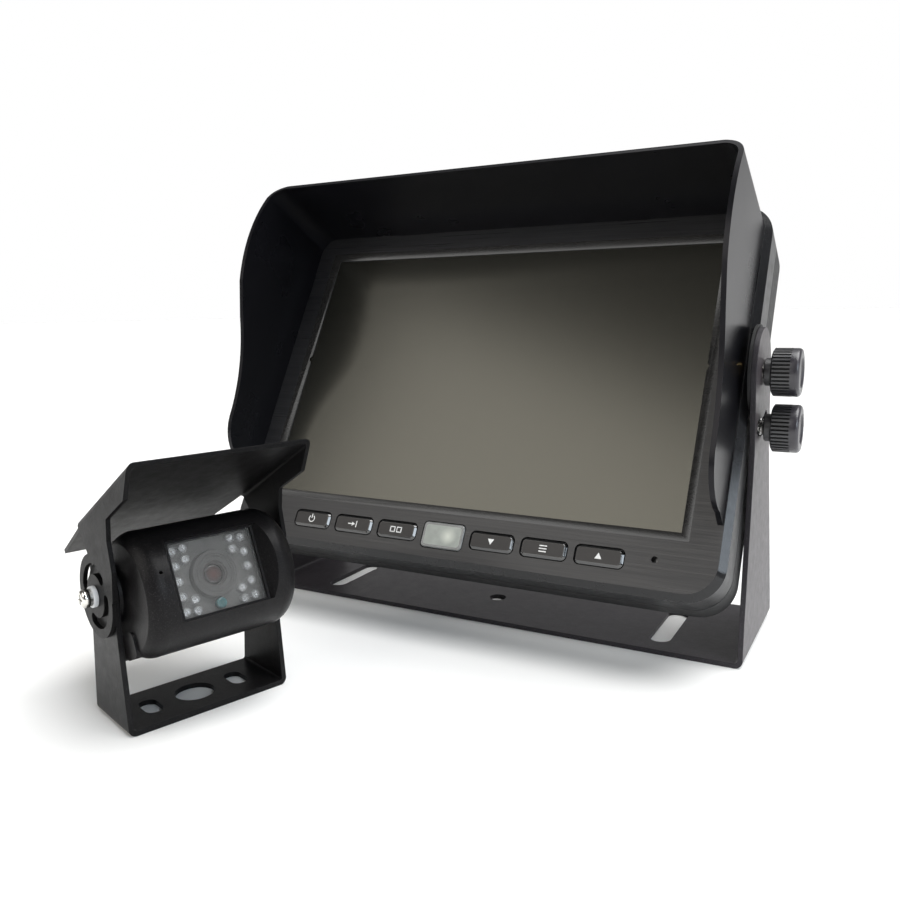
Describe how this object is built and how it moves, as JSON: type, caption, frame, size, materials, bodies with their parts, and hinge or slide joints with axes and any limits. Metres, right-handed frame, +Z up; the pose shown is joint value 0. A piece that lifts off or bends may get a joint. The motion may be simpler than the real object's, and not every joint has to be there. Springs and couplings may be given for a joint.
{
  "type": "backup camera kit",
  "caption": "Tilting monitor with pull-off sun visor, button row and thumb knobs on a U-bracket, beside a small infrared camera with a swinging visor on its own U-bracket.",
  "frame": {"origin": "centre of the monitor bracket's foot on the floor", "axes": "+X to the right along the monitor's width, the screen faces -Y, +Z up"},
  "size_m": [0.2098, 0.1867, 0.1575],
  "materials": {
    "bracket_coat": "fine textured black powder coat",
    "pad_rubber": "matt black",
    "bezel": "dark brushed face with polished bevels",
    "shell": "fine spark texture",
    "sun_visor": "satin black",
    "knob": "moulded black with ribbed grip",
    "zinc_steel": "bright zinc",
    "nickel": "nickel plated",
    "black_screw": "black oxide",
    "insert_brass": "turned",
    "screen_glass": "anti-glare",
    "panel": "dull grey-olive display",
    "tray": "plain sheet",
    "board_green": "solder resist",
    "board_black": "grey resist",
    "speaker": "black cone and frame",
    "switch": "black",
    "ir_chip": "dark infrared epoxy",
    "mic_can": "can",
    "ir_window": "frosted translucent",
    "button": "black cap, white symbol",
    "gland_rubber": "matt black",
    "housing": "textured black paint",
    "seal": "black silicone",
    "window_glass": "clear",
    "lens_barrel": "grey ring",
    "lens_glass": "coated lens",
    "led": "clear dome",
    "light_sensor": "teal face",
    "nylon": "white"
  },
  "bodies": {
    "frame": {"monitor_bracket": "bracket_coat", "friction_pads": "pad_rubber", "camera_bracket": "bracket_coat"},
    "monitor_head": {"front_bezel": "bezel", "rear_shell": "shell", "screen_glass": "screen_glass", "lcd_panel": "panel", "lcd_tray": "tray", "main_board": "board_green", "board_screws": "zinc_steel", "button_board": "board_green", "tact_switches": "switch", "ir_receiver": "ir_chip", "ir_window": "ir_window", "microphone": "mic_can", "speaker": "speaker", "thread_inserts": "insert_brass", "housing_screws": "black_screw", "monitor_gland": "gland_rubber"},
    "sun_visor": {"sun_visor": "sun_visor"},
    "camera_head": {"camera_housing": "housing", "rear_cover": "housing", "cover_seal": "seal", "cover_screws": "nickel", "camera_gland": "gland_rubber", "window_glass": "window_glass", "window_gasket": "seal", "lens_barrel": "lens_barrel", "lens_glass": "lens_glass", "led_board": "board_black", "ir_leds": "led", "light_sensor": "light_sensor", "sensor_board": "board_green", "pivot_screws": "nickel", "spring_washers": "zinc_steel", "nylon_washers": "nylon"},
    "camera_visor": {"camera_visor": "housing"},
    "knob_right_upper": {"knob_right_upper": "knob", "stud_right_upper": "zinc_steel"},
    "knob_right_lower": {"knob_right_lower": "knob", "stud_right_lower": "zinc_steel"},
    "knob_left_upper": {"knob_left_upper": "knob", "stud_left_upper": "zinc_steel"},
    "knob_left_lower": {"knob_left_lower": "knob", "stud_left_lower": "zinc_steel"},
    "button_power": {"button_power": "button"},
    "button_input": {"button_input": "button"},
    "button_split": {"button_split": "button"},
    "button_down": {"button_down": "button"},
    "button_menu": {"button_menu": "button"},
    "button_up": {"button_up": "button"}
  },
  "joints": [
    {"name": "monitor_tilt", "type": "hinge", "parent": "frame", "child": "monitor_head", "pos_m": [0, -0.0106, 0.0898], "axis": [1, 0, 0], "range_deg": [-15, 25]},
    {"name": "sun_visor_pull", "type": "slide", "parent": "monitor_head", "child": "sun_visor", "axis": [0, -0.8691, 0.4947], "range_m": [0, 0.006]},
    {"name": "knob_right_upper_turn", "type": "hinge", "parent": "monitor_head", "child": "knob_right_upper", "pos_m": [0, -0.0106, 0.0898], "axis": [1, 0, 0], "continuous": true},
    {"name": "knob_right_lower_turn", "type": "hinge", "parent": "monitor_head", "child": "knob_right_lower", "pos_m": [0, -0.0106, 0.0728], "axis": [1, 0, 0], "continuous": true},
    {"name": "knob_left_upper_turn", "type": "hinge", "parent": "monitor_head", "child": "knob_left_upper", "pos_m": [0, -0.0106, 0.0898], "axis": [1, 0, 0], "continuous": true},
    {"name": "knob_left_lower_turn", "type": "hinge", "parent": "monitor_head", "child": "knob_left_lower", "pos_m": [0, -0.0106, 0.0728], "axis": [1, 0, 0], "continuous": true},
    {"name": "button_power_press", "type": "slide", "parent": "monitor_head", "child": "button_power", "axis": [0, 0.8691, -0.4947], "range_m": [0, 0.0005], "stiffness_N_per_m": 600, "springref_m": -0.0005},
    {"name": "button_input_press", "type": "slide", "parent": "monitor_head", "child": "button_input", "axis": [0, 0.8691, -0.4947], "range_m": [0, 0.0005], "stiffness_N_per_m": 600, "springref_m": -0.0005},
    {"name": "button_split_press", "type": "slide", "parent": "monitor_head", "child": "button_split", "axis": [0, 0.8691, -0.4947], "range_m": [0, 0.0005], "stiffness_N_per_m": 600, "springref_m": -0.0005},
    {"name": "button_down_press", "type": "slide", "parent": "monitor_head", "child": "button_down", "axis": [0, 0.8691, -0.4947], "range_m": [0, 0.0005], "stiffness_N_per_m": 600, "springref_m": -0.0005},
    {"name": "button_menu_press", "type": "slide", "parent": "monitor_head", "child": "button_menu", "axis": [0, 0.8691, -0.4947], "range_m": [0, 0.0005], "stiffness_N_per_m": 600, "springref_m": -0.0005},
    {"name": "button_up_press", "type": "slide", "parent": "monitor_head", "child": "button_up", "axis": [0, 0.8691, -0.4947], "range_m": [0, 0.0005], "stiffness_N_per_m": 600, "springref_m": -0.0005},
    {"name": "camera_tilt", "type": "hinge", "parent": "frame", "child": "camera_head", "pos_m": [-0.0445, -0.1161, 0.037], "axis": [0.3173, 0.9483, 0], "range_deg": [-30, 24]},
    {"name": "camera_visor_swing", "type": "hinge", "parent": "camera_head", "child": "camera_visor", "pos_m": [-0.0445, -0.1161, 0.037], "axis": [0.3173, 0.9483, 0], "range_deg": [-15, 10]}
  ]
}
